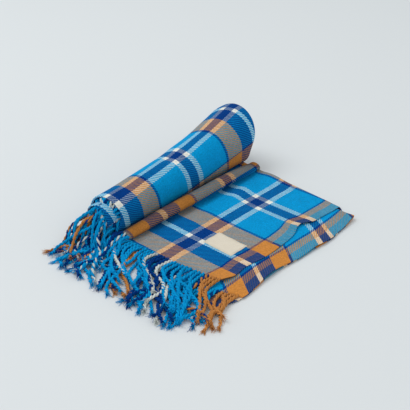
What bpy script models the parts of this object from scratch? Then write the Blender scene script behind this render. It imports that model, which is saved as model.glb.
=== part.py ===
"""Plaid travel rug, folded in four along its length and then rolled up from one side.

Metres, +Z up, floor at Z = 0. +X runs across the roll, from the roll to the open selvedges.
+Y runs along the roll, from the fringed end to the folded end.
"""

import math

import bmesh
import bpy
import numpy as np

# Cloth and its layers, counted from the floor: 0 and 1 meet in the near fold, 1 and 2 in the
# inner far fold, 0 and 3 in the outer far fold. Layers 2 and 3 end in the two fringes.
CLOTH_THICK = 0.0015
LAYER_STEP = 0.0020
NEAR_PUFF = (0.0, 0.0007, 0.0009, 0.0018)
FAR_PUFF = (0.0, 0.0006, 0.0012, 0.0026)
PUFF_LENGTH = 0.034

# Open selvedges on the right of the flat part, one row for each place along the rug
SELVEDGE_COLUMNS = ("y", "lowest", "middle", "top")
SELVEDGE_ROWS = (
    (-0.270, 0.196, 0.200, 0.158),
    (-0.205, 0.206, 0.219, 0.158),
    (-0.170, 0.206, 0.217, 0.166),
    (-0.128, 0.203, 0.212, 0.161),
    (-0.083, 0.200, 0.212, 0.167),
    (-0.028, 0.196, 0.219, 0.167),
    (0.033, 0.190, 0.221, 0.160),
    (0.069, 0.186, 0.226, 0.148),
    (0.100, 0.183, 0.222, 0.160),
    (0.134, 0.180, 0.220, 0.162),
    (0.185, 0.176, 0.213, 0.168),
)

# Ends of the layers along the path that starts at the selvedges (0), reaches the floor line of
# the roll (1) and then counts whole turns
EDGE_COLUMNS = ("path", "fringe_top", "fringe_under", "near_fold", "inner_fold", "outer_fold")
EDGE_ROWS = (
    (0.00, -0.200, -0.208, -0.260, 0.178, 0.192),
    (0.20, -0.204, -0.232, -0.268, 0.188, 0.198),
    (0.45, -0.211, -0.238, -0.262, 0.195, 0.204),
    (0.65, -0.216, -0.238, -0.250, 0.199, 0.209),
    (0.85, -0.222, -0.236, -0.241, 0.203, 0.214),
    (1.00, -0.222, -0.232, -0.238, 0.208, 0.219),
    (1.25, -0.217, -0.222, -0.229, 0.216, 0.228),
    (1.50, -0.212, -0.216, -0.223, 0.219, 0.231),
    (1.75, -0.207, -0.211, -0.216, 0.212, 0.224),
    (2.00, -0.214, -0.219, -0.228, 0.205, 0.217),
    (2.25, -0.222, -0.226, -0.237, 0.202, 0.214),
    (2.60, -0.225, -0.229, -0.239, 0.200, 0.212),
    (4.00, -0.226, -0.230, -0.237, 0.200, 0.212),
)

# Roll, one row for each place along it. The pitch is the step from one turn to the next and
# the loft spreads the layers where the roll is loose.
ROLL_COLUMNS = ("y", "centre_x", "radius", "pitch", "loft", "corner")
ROLL_ROWS = (
    (-0.260, -0.140, 0.0452, 0.0114, 1.32, 0.0),
    (-0.220, -0.140, 0.0456, 0.0114, 1.32, 0.0),
    (-0.095, -0.146, 0.0500, 0.0123, 1.38, 0.0),
    (0.000, -0.152, 0.0548, 0.0138, 1.48, 0.1),
    (0.095, -0.159, 0.0612, 0.0158, 1.60, 0.4),
    (0.170, -0.165, 0.0680, 0.0178, 1.80, 0.9),
    (0.215, -0.170, 0.0715, 0.0188, 1.90, 1.0),
    (0.240, -0.170, 0.0715, 0.0188, 1.90, 1.0),
)
ROLL_TURNS = 2.625
STEPS_PER_TURN = 16
DROP_FROM, DROP_TO = 190.0, 350.0

# How far the loose far end stands off a circle, as a share of its radius
CORNER_COLUMNS = ("angle", "share")
CORNER_ROWS = (
    (0.0, 0.0),
    (90.0, 0.02),
    (150.0, 0.05),
    (187.0, 0.11),
    (222.0, -0.02),
    (250.0, -0.035),
    (290.0, 0.0),
    (360.0, 0.0),
)

# Stations across the flat part: shares of the way from a selvedge to the common line, then
# places in X that all the layers share
COMMON_X = 0.040
SHARES_TO_COMMON = (0.0, 0.09, 0.24, 0.42, 0.62, 0.81, 1.0)
SHARED_X = (0.002, -0.034, -0.0655, -0.072, -0.080, -0.090, -0.100, -0.109, -0.1165)
STATION_Y_OUTER = (0.0, 0.07, 0.38, 0.70, 0.93, 1.0)
STATION_Y_INNER = (0.0, 0.07, 0.22, 0.38, 0.54, 0.70, 0.93, 1.0)

# Standing crease of the upper layers beside the roll
CREASE_X = -0.090
CREASE_HALF = 0.027
CREASE_RISE = (0.0, 0.0016, 0.0082, 0.0150)

# Lifts of the layers: where each is, how far it spreads, and how high each layer goes
LIFT_COLUMNS = ("x", "y", "spread_x", "spread_y", "layer_1", "layer_2", "layer_3")
LIFT_ROWS = (
    (0.232, 0.190, 0.034, 0.040, 0.0050, 0.0080, 0.0080),
    (0.226, -0.110, 0.028, 0.034, 0.0010, 0.0065, 0.0065),
    (0.232, 0.030, 0.028, 0.030, 0.0, 0.0035, 0.0035),
    (0.168, 0.072, 0.030, 0.028, 0.0, 0.0, 0.0055),
    (0.166, -0.205, 0.034, 0.034, 0.0, 0.0, 0.0070),
    (-0.026, 0.215, 0.030, 0.090, 0.0, 0.0018, 0.0045),
    (-0.012, 0.030, 0.030, 0.060, 0.0, 0.0008, 0.0026),
)

# Fringes: a narrow backing along each end of the cloth, with its strands
BACKING_GAP = 0.0005
BACKING_WIDE = 0.0040
WALK_HEIGHT = 0.0060
STRAND_PITCH = 0.0170
LAST_STRAND = 0.045
STRAND_WIDE = 0.0040
STRAND_HIGH = 0.0032
ROLLED_SIZE = 0.78
ROLLED_RAISE = 0.0009
ROLLED_REACH = 0.096
REACH_LOSS = 1.2
STRAND_LONG = 0.122
STRAND_UNEVEN = 0.035
DRIFT_FROM = -0.242
DRIFT_LENGTH = 0.110
STRAND_RAISE = 0.0013
STRAND_CLEAR = 0.0010
FLOOR_LEVEL = 0.0020
PILE_LEVEL = 0.0032
BEND_FROM = -0.246
PILE_SHRINK = 0.42
PILE_SPREAD = 0.45
PILE_DRIFT = 0.026
BUNCH = 0.0030
BUNCH_PITCH = 0.062

# Drift of the strand tips on the floor towards +X, by the place of the root
DRIFT_COLUMNS = ("root_x", "drift")
DRIFT_ROWS = (
    (-0.150, 0.016),
    (-0.100, 0.030),
    (-0.060, 0.028),
    (-0.020, 0.016),
    (0.030, 0.026),
    (0.070, 0.044),
    (0.110, 0.040),
    (0.150, 0.060),
    (0.220, 0.056),
)

# Woven label sewn on the top layer
LABEL_CENTRE = (0.0775, -0.0945)
LABEL_SIZE = (0.077, 0.050)
LABEL_THICK = 0.0008
LABEL_GAP = 0.0005
LABEL_TURN = math.radians(-1.5)


def column(rows, names, name):
    return np.array([row[names.index(name)] for row in rows])


def read(rows, names, name, at):
    """The value of a table's column at a place in its first column."""
    return float(np.interp(at, column(rows, names, names[0]), column(rows, names, name)))


def ease(share):
    share = min(max(share, 0.0), 1.0)
    return share * share * (3.0 - 2.0 * share)


def hill(x, y, row):
    """Height share of one lift at a place."""
    far = ((x - row[0]) / row[2]) ** 2 + ((y - row[1]) / row[3]) ** 2
    return math.exp(-far)


def lift_of(layer, x, y):
    """How far a layer stands off its even level at a place on the flat part."""
    if layer == 0:
        return 0.0
    column_at = LIFT_COLUMNS.index("layer_%d" % layer)
    rise = sum(row[column_at] * hill(x, y, row) for row in LIFT_ROWS)
    off = abs(x - CREASE_X) / CREASE_HALF
    if off < 1.0:
        rise += CREASE_RISE[layer] * 0.5 * (1.0 + math.cos(math.pi * off))
    return rise


def level_of(layer, path, y):
    """Height of a layer's middle over the underside, measured square to the path."""
    loft = read(ROLL_ROWS, ROLL_COLUMNS, "loft", y)
    rolled = ease((path - 0.86) / 0.14)
    loft = 1.0 + (loft - 1.0) * rolled
    near = read(EDGE_ROWS, EDGE_COLUMNS, "near_fold", path)
    far = read(EDGE_ROWS, EDGE_COLUMNS, "outer_fold", path)
    near_share = (1.0 - ease((y - near) / PUFF_LENGTH)) * (1.0 - rolled)
    far_share = 1.0 - ease((far - y) / PUFF_LENGTH)
    level = CLOTH_THICK / 2 + layer * LAYER_STEP * loft
    return level + near_share * NEAR_PUFF[layer] + far_share * FAR_PUFF[layer]


def roll_radius(turns, y):
    """Radius of the path's outer side after some turns from the floor line."""
    angle = 360.0 * (turns % 1.0)
    whole = math.floor(turns)
    corner = read(ROLL_ROWS, ROLL_COLUMNS, "corner", y)
    corner *= read(CORNER_ROWS, CORNER_COLUMNS, "share", angle)
    drop = ease((angle - DROP_FROM) / (DROP_TO - DROP_FROM))
    radius = read(ROLL_ROWS, ROLL_COLUMNS, "radius", y) * (1.0 + corner)
    return radius - read(ROLL_ROWS, ROLL_COLUMNS, "pitch", y) * (whole + drop)


def selvedge_x(layer, y):
    """The X where a layer's open selvedge lies."""
    lowest = read(SELVEDGE_ROWS, SELVEDGE_COLUMNS, "lowest", y)
    middle = read(SELVEDGE_ROWS, SELVEDGE_COLUMNS, "middle", y)
    top = read(SELVEDGE_ROWS, SELVEDGE_COLUMNS, "top", y)
    return (lowest, middle, middle, top)[layer]


def path_x(edge, centre, path):
    """The X of a place on the flat part, for a layer whose selvedge is at this edge."""
    places = [edge + (COMMON_X - edge) * share for share in SHARES_TO_COMMON]
    places += list(SHARED_X)
    places.append(centre)
    return float(np.interp(path, FLAT_PATHS, places))


def flat_paths():
    """The path value of each station on the flat part."""
    widest = max(column(SELVEDGE_ROWS, SELVEDGE_COLUMNS, "middle"))
    places = [widest + (COMMON_X - widest) * share for share in SHARES_TO_COMMON]
    places += list(SHARED_X)
    places.append(-0.150)
    return [(widest - place) / (widest - places[-1]) for place in places]


FLAT_PATHS = flat_paths()


def place(path, y, height, edge, layer):
    """A point of the folded stack: along the path, along the rug and up from its underside."""
    centre = read(ROLL_ROWS, ROLL_COLUMNS, "centre_x", y)
    if path <= 1.0:
        x = path_x(edge, centre, path)
        return (x, y, height + lift_of(layer, x, y))
    turns = path - 1.0
    angle = 2.0 * math.pi * turns
    radius = roll_radius(turns, y)
    middle = roll_radius(0.0, y)
    inner = radius - height
    return (centre - inner * math.sin(angle), y, middle - inner * math.cos(angle))


def fold_points(path):
    """Middle line of the cloth over one section, from the under fringe to the top one.

    Each row holds y, the layer it leaves and the layer it goes to, its level over the
    underside, and the angle of the cloth's left side.
    """
    ends = {name: read(EDGE_ROWS, EDGE_COLUMNS, name, path) for name in EDGE_COLUMNS[1:]}
    rows = []

    def run(layer, start, stop, shares, normal):
        for share in shares:
            y = start + (stop - start) * share
            rows.append((y, layer, layer, level_of(layer, path, y), normal))

    def fold(first, second, y, side, angles):
        """A half round from one layer's level to another's. Side is 1 where the cloth's left
        side is the outside of the bend, and -1 where it is the inside."""
        low = level_of(first, path, y)
        high = level_of(second, path, y)
        half = 0.5 * abs(low - high)
        for angle in angles:
            turn = math.radians(angle)
            at_y = y + side * half * math.cos(turn)
            level = 0.5 * (low + high) + side * half * math.sin(turn)
            rows.append((at_y, first, second, level, turn))

    inner = ends["inner_fold"] - 0.0015
    near = ends["near_fold"] + 0.0020
    outer = ends["outer_fold"] - 0.0050
    up = math.pi / 2
    run(2, ends["fringe_under"], inner, STATION_Y_INNER, up)
    fold(2, 1, inner, 1, (35, -35))
    run(1, inner, near, [1 - share for share in reversed(STATION_Y_OUTER)], -up)
    fold(1, 0, near, -1, (-35, 35))
    run(0, near, outer, STATION_Y_OUTER, up)
    fold(0, 3, outer, -1, (135, 180, 225))
    run(3, outer, ends["fringe_top"], [1 - share for share in reversed(STATION_Y_INNER)], 3 * up)
    return rows


def stacked(path, y, level, first, second):
    """A point of the cloth, between two layers' places where it bends from one to the other."""
    edge = 0.5 * (selvedge_x(first, y) + selvedge_x(second, y))
    low, high = min(first, second), max(first, second)
    from_low = np.array(place(path, y, level, edge, low))
    if low == high:
        return tuple(from_low)
    low_level, high_level = level_of(low, path, y), level_of(high, path, y)
    share = min(max((level - low_level) / (high_level - low_level), 0.0), 1.0)
    from_high = np.array(place(path, y, level, edge, high))
    return tuple(from_low + (from_high - from_low) * share)


def cloth_section(path):
    """Closed outline of the cloth at one station of the path."""
    left, right = [], []
    for y, first, second, level, normal in fold_points(path):
        for side, points in ((1.0, left), (-1.0, right)):
            off = side * CLOTH_THICK / 2
            at_y, at_level = y + off * math.cos(normal), level + off * math.sin(normal)
            points.append(stacked(path, at_y, at_level, first, second))
    return left + right[::-1]


def path_stations():
    steps = round(ROLL_TURNS * STEPS_PER_TURN)
    return FLAT_PATHS + [1.0 + (step + 1) / STEPS_PER_TURN for step in range(steps)]


def mesh_object(name, points, faces, material):
    mesh = bpy.data.meshes.new(name)
    mesh.from_pydata(points, [], faces)
    shape = bmesh.new()
    shape.from_mesh(mesh)
    bmesh.ops.recalc_face_normals(shape, faces=shape.faces)
    if shape.calc_volume(signed=True) < 0:
        bmesh.ops.reverse_faces(shape, faces=shape.faces)
    shape.to_mesh(mesh)
    shape.free()
    mesh.materials.append(material)
    thing = bpy.data.objects.new(name, mesh)
    rug_parts.objects.link(thing)
    return thing


def loft(name, rings, material):
    """A closed solid through rings of equal count, with a face over each end.

    The end faces are cut into quads between the two sides of the outline.
    """
    count = len(rings[0])
    points = [point for ring in rings for point in ring]
    faces = []
    for row in range(len(rings) - 1):
        first, second = row * count, (row + 1) * count
        for at in range(count):
            after = (at + 1) % count
            faces.append((first + at, first + after, second + after, second + at))
    last = (len(rings) - 1) * count
    for at in range(count // 2 - 1):
        back = count - 1 - at
        faces.append((at, back, back - 1, at + 1))
        faces.append((last + at, last + at + 1, last + back - 1, last + back))
    return mesh_object(name, points, faces, material)


def walk(layer):
    """Fine places along the path, and how far each is from X = 0 towards the roll's core.

    Both fringes count the turns at one height, so that their strands keep to their own gaps.
    """
    y = -0.220
    edge = selvedge_x(layer, y)
    centre = read(ROLL_ROWS, ROLL_COLUMNS, "centre_x", y)
    flat = np.linspace(0.0, 1.0, 500)
    far = [-path_x(edge, centre, path) for path in flat]
    turned = np.linspace(1.0, 1.0 + ROLL_TURNS, 1200)[1:]
    line = np.array([place(path, y, WALK_HEIGHT, edge, layer) for path in turned])
    steps = np.linalg.norm(np.diff(line, axis=0), axis=1)
    arcs = far[-1] + np.concatenate(([0.0], np.cumsum(steps)))
    return np.concatenate((flat, turned)), np.concatenate((far, arcs))


def bunched(root_x):
    """Sideways shift that gathers the strands' tips into loose bunches."""
    return BUNCH * math.sin(2.0 * math.pi * root_x / BUNCH_PITCH)


def drift_share(y):
    """Share of the sideways drift that a strand has taken when it reaches this place."""
    return max(DRIFT_FROM - y, 0.0) / DRIFT_LENGTH


def strand_long(root_x, layer):
    """Length of a strand, a little uneven from one to the next."""
    wave = math.sin(163.0 * root_x + 2.1 * layer) + 0.6 * math.sin(411.0 * root_x + layer)
    return STRAND_LONG * (1.0 + STRAND_UNEVEN * wave)


def strand_line(layer, path, root_y):
    """Middle line of one strand from its root, drooping onto the floor or the pile."""
    flat = path < 0.97
    level = level_of(layer, path, root_y) + (STRAND_RAISE if flat else ROLLED_RAISE)
    edge = selvedge_x(layer, root_y)
    root = np.array(place(path, root_y, level, edge, layer))
    fold_y = read(EDGE_ROWS, EDGE_COLUMNS, "near_fold", path)
    line = [root]
    if flat:
        long = strand_long(root[0], layer)
        over = min(fold_y - 0.004, root_y - 0.012)
        fold_top = level_of(1, path, fold_y) + CLOTH_THICK / 2 + lift_of(1, root[0], fold_y)
        crest = max(root[2], fold_top + STRAND_HIGH / 2 + STRAND_CLEAR)
        drift = read(DRIFT_ROWS, DRIFT_COLUMNS, "drift", root[0]) + bunched(root[0])
        down = over - 0.016
        tip = root_y - long + 0.4 * drift
        if root_y > DRIFT_FROM + 0.012:
            under = read(EDGE_ROWS, EDGE_COLUMNS, "fringe_under", path)
            lift = max(lift_of(2, root[0] + off, under) for off in (-0.009, 0.0, 0.009))
            under_top = level_of(2, path, under) + CLOTH_THICK / 2 + lift
            first = max(root[2], under_top + STRAND_HIGH / 2 + STRAND_CLEAR)
            crest = max(crest, min(first, root[2]))
            heights = ((DRIFT_FROM, first), (over, crest), (down, FLOOR_LEVEL))
        else:
            heights = ((over, crest), (down, FLOOR_LEVEL), (0.5 * (down + tip), FLOOR_LEVEL))
        for y, height in (*heights, (tip, FLOOR_LEVEL)):
            line.append(np.array((root[0] + drift * drift_share(y), y, height)))
        return line
    centre = read(ROLL_ROWS, ROLL_COLUMNS, "centre_x", root_y)
    start = min(BEND_FROM, root_y - 0.010)
    reach = ROLLED_REACH * (1.0 - REACH_LOSS * root[2])
    reach *= strand_long(4.0 * path, layer) / STRAND_LONG
    for share in (0.0, 0.33, 0.66, 1.0):
        bend = ease(share)
        x = centre + (root[0] - centre) * (1.0 + PILE_SPREAD * bend) + PILE_DRIFT * bend
        z = PILE_LEVEL + (root[2] - PILE_LEVEL) * (1.0 - PILE_SHRINK * bend)
        line.append(np.array((x, start - reach * share, z)))
    return line


def strand_rings(line, side, rise, size):
    """Four-sided rings along a strand, from the second point of its line on.

    A ring on the floor stands upright and its underside lies on the floor.
    """
    rings = []
    for at in range(1, len(line)):
        before, after = line[at - 1], line[min(at + 1, len(line) - 1)]
        along = after - before
        on_floor = line[at][2] <= FLOOR_LEVEL + 1e-6
        if on_floor:
            along = along * (1.0, 1.0, 0.0)
        along = along / np.linalg.norm(along)
        across = side - along * np.dot(side, along)
        if on_floor:
            across = across * (1.0, 1.0, 0.0)
        across = across / np.linalg.norm(across)
        up = np.cross(along, across)
        up = up * (1.0 if np.dot(up, rise) > 0 else -1.0)
        narrow = size * (0.8 if at == len(line) - 1 else 1.0)
        middle = np.array(line[at])
        if on_floor:
            middle[2] = narrow * STRAND_HIGH / 2
        ring = []
        for a, b in ((-1, -1), (1, -1), (1, 1), (-1, 1)):
            corner = middle + across * (a * narrow * STRAND_WIDE / 2)
            ring.append(corner + up * (b * narrow * STRAND_HIGH / 2))
        rings.append(ring)
    return rings


def strand_sections(layer, share):
    """The path places of both sides of each strand's root."""
    paths, far = walk(layer)
    first = math.ceil((far[0] + 0.004) / STRAND_PITCH - share)
    last = math.floor((far[-1] - LAST_STRAND) / STRAND_PITCH - share)
    sections = []
    for strand in range(first, last + 1):
        middle = (strand + share) * STRAND_PITCH
        for side in (-0.5, 0.5):
            sections.append(float(np.interp(middle + side * STRAND_WIDE, far, paths)))
    return sections


def backing_stations(sections):
    """The roots' sides, with one more station between two roots where the backing curls."""
    stations, roots = [], []
    for at in range(0, len(sections), 2):
        if at and sections[at] > 1.0:
            stations.append(0.5 * (sections[at - 1] + sections[at]))
        roots.append(len(stations))
        stations += sections[at : at + 2]
    return stations, roots


def fringe(name, layer, end_name, first_share, material):
    """A backing along one end of the cloth and its strands, as one solid."""
    points, faces = [], []
    stations, roots = backing_stations(strand_sections(layer, first_share))
    for path in stations:
        end = read(EDGE_ROWS, EDGE_COLUMNS, end_name, path)
        for y, side in ((0.0, -1), (-BACKING_WIDE, -1), (-BACKING_WIDE, 1), (0.0, 1)):
            at_y = end - BACKING_GAP + y
            level = level_of(layer, path, end) + side * CLOTH_THICK / 2
            points.append(place(path, at_y, level, selvedge_x(layer, end), layer))
    for at in range(len(stations) - 1):
        first, second = 4 * at, 4 * (at + 1)
        for corner in (0, 1, 2, 3):
            after = (corner + 1) % 4
            if corner == 1 and at in roots:
                continue
            faces.append((first + corner, first + after, second + after, second + corner))
    faces.append((0, 1, 2, 3))
    last = 4 * (len(stations) - 1)
    faces.append((last + 3, last + 2, last + 1, last))
    for at in roots:
        first, second = 4 * at, 4 * at + 4
        root = [first + 1, second + 1, second + 2, first + 2]
        corners = [np.array(points[corner]) for corner in root]
        side = corners[1] - corners[0]
        side = side / np.linalg.norm(side)
        rise = corners[3] - corners[0]
        path = 0.5 * (stations[at] + stations[at + 1])
        end = read(EDGE_ROWS, EDGE_COLUMNS, end_name, path)
        line = strand_line(layer, path, end - BACKING_GAP - BACKING_WIDE)
        ring = root
        size = 1.0 if path < 0.97 else ROLLED_SIZE
        for corners in strand_rings(line, side, rise, size):
            start = len(points)
            points.extend(tuple(corner) for corner in corners)
            new = [start, start + 1, start + 2, start + 3]
            for corner in range(4):
                after = (corner + 1) % 4
                faces.append((ring[corner], ring[after], new[after], new[corner]))
            ring = new
        faces.append(tuple(ring))
    return mesh_object(name, points, faces, material)


def label(material):
    wide, deep = LABEL_SIZE
    x, y = LABEL_CENTRE
    level = level_of(3, 0.5, y) + CLOTH_THICK / 2 + lift_of(3, x, y) + LABEL_GAP
    turn_cos, turn_sin = math.cos(LABEL_TURN), math.sin(LABEL_TURN)
    rings = []
    for height in (level, level + LABEL_THICK):
        ring = []
        for a, b in ((-1, -1), (1, -1), (1, 1), (-1, 1)):
            along, across = a * wide / 2, b * deep / 2
            ring.append(
                (
                    x + along * turn_cos - across * turn_sin,
                    y + along * turn_sin + across * turn_cos,
                    height,
                )
            )
        rings.append(ring)
    return loft("label", rings, material)


def material_named(name, colour, roughness):
    material = bpy.data.materials.new(name)
    material.use_nodes = True
    shader = material.node_tree.nodes["Principled BSDF"]
    shader.inputs["Base Color"].default_value = (*colour, 1.0)
    shader.inputs["Roughness"].default_value = roughness
    return material


for thing in list(bpy.data.objects):
    bpy.data.objects.remove(thing)

rug_parts = bpy.data.collections.new("folded_travel_rug")
bpy.context.scene.collection.children.link(rug_parts)

plaid = material_named("plaid wool cloth", (0.02, 0.17, 0.52), 0.9)
top_yarn = material_named("top fringe yarn", (0.02, 0.30, 0.65), 0.9)
under_yarn = material_named("under fringe yarn", (0.60, 0.25, 0.05), 0.9)
cream = material_named("cream label tape", (0.82, 0.76, 0.64), 0.8)

loft("rug", [cloth_section(path) for path in path_stations()], plaid)
fringe("fringe_top", 3, "fringe_top", 0.0, top_yarn)
fringe("fringe_under", 2, "fringe_under", 0.5, under_yarn)
label(cream)
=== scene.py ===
"""Looks of the plaid wool travel rug: its cloth, its two fringes and its sewn label.

Metres, +Z up, floor at Z = 0. +X runs across the roll, from the roll to the open selvedges.
+Y runs along the roll, from the fringed end to the folded end.
"""

import math

import bpy
import numpy as np
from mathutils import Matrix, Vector


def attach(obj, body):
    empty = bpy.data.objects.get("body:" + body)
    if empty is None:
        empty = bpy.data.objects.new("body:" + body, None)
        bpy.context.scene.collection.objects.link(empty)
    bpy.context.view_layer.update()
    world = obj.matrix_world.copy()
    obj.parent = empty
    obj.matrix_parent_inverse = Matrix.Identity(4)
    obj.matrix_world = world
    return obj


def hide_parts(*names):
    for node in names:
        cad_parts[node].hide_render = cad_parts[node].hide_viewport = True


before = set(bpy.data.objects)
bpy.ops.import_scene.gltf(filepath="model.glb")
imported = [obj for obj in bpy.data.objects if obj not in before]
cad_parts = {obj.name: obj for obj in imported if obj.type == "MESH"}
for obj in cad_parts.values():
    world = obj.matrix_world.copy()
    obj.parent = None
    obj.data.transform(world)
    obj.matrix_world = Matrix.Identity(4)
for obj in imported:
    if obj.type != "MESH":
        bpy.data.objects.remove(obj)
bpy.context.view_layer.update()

# Cloth and its layers, counted from the floor: 0 and 1 meet in the near fold, 1 and 2 in the
# inner far fold, 0 and 3 in the outer far fold. Layers 2 and 3 end in the two fringes.
CLOTH_THICK = 0.0015
LAYER_STEP = 0.0020
NEAR_PUFF = np.array((0.0, 0.0007, 0.0009, 0.0018))
FAR_PUFF = np.array((0.0, 0.0006, 0.0012, 0.0026))
PUFF_LENGTH = 0.034

# Open selvedges on the right of the flat part
SELVEDGE_COLUMNS = ("y", "lowest", "middle", "top")
SELVEDGE_ROWS = (
    (-0.270, 0.196, 0.200, 0.158),
    (-0.205, 0.206, 0.219, 0.158),
    (-0.170, 0.206, 0.217, 0.166),
    (-0.128, 0.203, 0.212, 0.161),
    (-0.083, 0.200, 0.212, 0.167),
    (-0.028, 0.196, 0.219, 0.167),
    (0.033, 0.190, 0.221, 0.160),
    (0.069, 0.186, 0.226, 0.148),
    (0.100, 0.183, 0.222, 0.160),
    (0.134, 0.180, 0.220, 0.162),
    (0.185, 0.176, 0.213, 0.168),
)
SELVEDGE_OF_LAYER = ("lowest", "middle", "middle", "top")

# Ends of the layers along the path that starts at the selvedges (0), reaches the floor line of
# the roll (1) and then counts whole turns
EDGE_COLUMNS = ("path", "fringe_top", "fringe_under", "near_fold", "inner_fold", "outer_fold")
EDGE_ROWS = (
    (0.00, -0.200, -0.208, -0.260, 0.178, 0.192),
    (0.20, -0.204, -0.232, -0.268, 0.188, 0.198),
    (0.45, -0.211, -0.238, -0.262, 0.195, 0.204),
    (0.65, -0.216, -0.238, -0.250, 0.199, 0.209),
    (0.85, -0.222, -0.236, -0.241, 0.203, 0.214),
    (1.00, -0.222, -0.232, -0.238, 0.208, 0.219),
    (1.25, -0.217, -0.222, -0.229, 0.216, 0.228),
    (1.50, -0.212, -0.216, -0.223, 0.219, 0.231),
    (1.75, -0.207, -0.211, -0.216, 0.212, 0.224),
    (2.00, -0.222, -0.227, -0.238, 0.202, 0.214),
    (2.25, -0.230, -0.235, -0.246, 0.196, 0.208),
    (2.60, -0.230, -0.235, -0.246, 0.194, 0.206),
    (3.20, -0.226, -0.231, -0.240, 0.198, 0.210),
    (5.00, -0.224, -0.228, -0.237, 0.200, 0.212),
)

# Roll: its outer turn, and the closer pitch of the turns inside
ROLL_COLUMNS = ("y", "centre_x", "radius", "pitch", "inner_pitch", "loft", "corner")
ROLL_ROWS = (
    (-0.260, -0.140, 0.0452, 0.0114, 0.0088, 1.32, 0.0),
    (-0.220, -0.140, 0.0456, 0.0114, 0.0088, 1.32, 0.0),
    (-0.095, -0.146, 0.0500, 0.0123, 0.0096, 1.38, 0.0),
    (0.000, -0.152, 0.0548, 0.0138, 0.0106, 1.48, 0.1),
    (0.095, -0.159, 0.0612, 0.0158, 0.0119, 1.60, 0.4),
    (0.170, -0.165, 0.0680, 0.0178, 0.0132, 1.80, 0.9),
    (0.215, -0.170, 0.0715, 0.0188, 0.0138, 1.90, 1.0),
    (0.240, -0.170, 0.0715, 0.0188, 0.0138, 1.90, 1.0),
)
ROLL_TURNS = 3.6
DROP_FROM, DROP_TO = 190.0, 350.0

# How far the loose far end stands off a circle, as a share of its radius
CORNER_COLUMNS = ("angle", "share")
CORNER_ROWS = (
    (0.0, 0.0),
    (90.0, 0.02),
    (150.0, 0.05),
    (187.0, 0.11),
    (222.0, 0.11),
    (250.0, 0.07),
    (290.0, 0.01),
    (360.0, 0.0),
)

# Flat part of the path
COMMON_X = 0.040
WIDEST_X = 0.226
FLAT_LONG = WIDEST_X + 0.150
LAST_SHARED_X = -0.1165
COMMON_PATH = (WIDEST_X - COMMON_X) / FLAT_LONG
LAST_PATH = (WIDEST_X - LAST_SHARED_X) / FLAT_LONG

# Standing ridge of the three upper layers beside the roll. It leans over the flat part, so its
# curve turns back. Shares run along the flat path, and heights count from the flat level.
RIDGE_COLUMNS = ("share", "x", "height")
RIDGE_ROWS = (
    (0.00, -0.0520, 0.0000),
    (0.10, -0.0600, 0.0000),
    (0.20, -0.0715, 0.0006),
    (0.28, -0.0785, 0.0030),
    (0.36, -0.0735, 0.0080),
    (0.45, -0.0675, 0.0160),
    (0.56, -0.0725, 0.0245),
    (0.68, -0.0840, 0.0285),
    (0.80, -0.0965, 0.0225),
    (0.90, -0.1040, 0.0100),
    (1.00, -0.1165, 0.0000),
)
RIDGE_START, RIDGE_STOP = RIDGE_ROWS[0][1], RIDGE_ROWS[-1][1]

# Size of the ridge along the rug, as a share of that curve
RIDGE_SIZE_COLUMNS = ("y", "size")
RIDGE_SIZE_ROWS = (
    (-0.270, 0.42),
    (-0.200, 0.64),
    (-0.100, 0.93),
    (0.000, 1.00),
    (0.100, 1.08),
    (0.160, 0.90),
    (0.200, 0.60),
    (0.240, 0.45),
)

# Lifts of the layers: where each is, how far it spreads, and how high each layer goes
LIFT_ROWS = (
    (0.232, 0.190, 0.034, 0.040, 0.0050, 0.0080, 0.0080),
    (0.226, -0.110, 0.028, 0.034, 0.0010, 0.0065, 0.0065),
    (0.232, 0.030, 0.028, 0.030, 0.0, 0.0035, 0.0035),
    (0.168, 0.072, 0.030, 0.028, 0.0, 0.0, 0.0055),
    (0.166, -0.205, 0.034, 0.034, 0.0, 0.0, 0.0070),
    (-0.026, 0.215, 0.030, 0.090, 0.0, 0.0018, 0.0045),
    (-0.012, 0.030, 0.030, 0.060, 0.0, 0.0008, 0.0026),
)

# Soft ripples of the top layer: place, direction, half length, half width and rise
RIPPLE_ROWS = (
    (0.150, -0.060, 75.0, 0.050, 0.010, 0.0012),
    (0.152, 0.020, 100.0, 0.040, 0.009, 0.0014),
    (0.150, 0.120, 80.0, 0.050, 0.011, 0.0012),
    (0.100, -0.180, 10.0, 0.060, 0.012, 0.0010),
    (0.020, -0.170, 160.0, 0.050, 0.014, 0.0012),
    (-0.050, -0.120, 95.0, 0.080, 0.016, 0.0016),
    (-0.050, 0.100, 85.0, 0.070, 0.016, 0.0016),
    (0.060, 0.150, 20.0, 0.070, 0.018, 0.0010),
    (-0.034, 0.090, 97.0, 0.080, 0.020, 0.0060),
    (-0.030, -0.060, 92.0, 0.060, 0.022, 0.0024),
)

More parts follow.
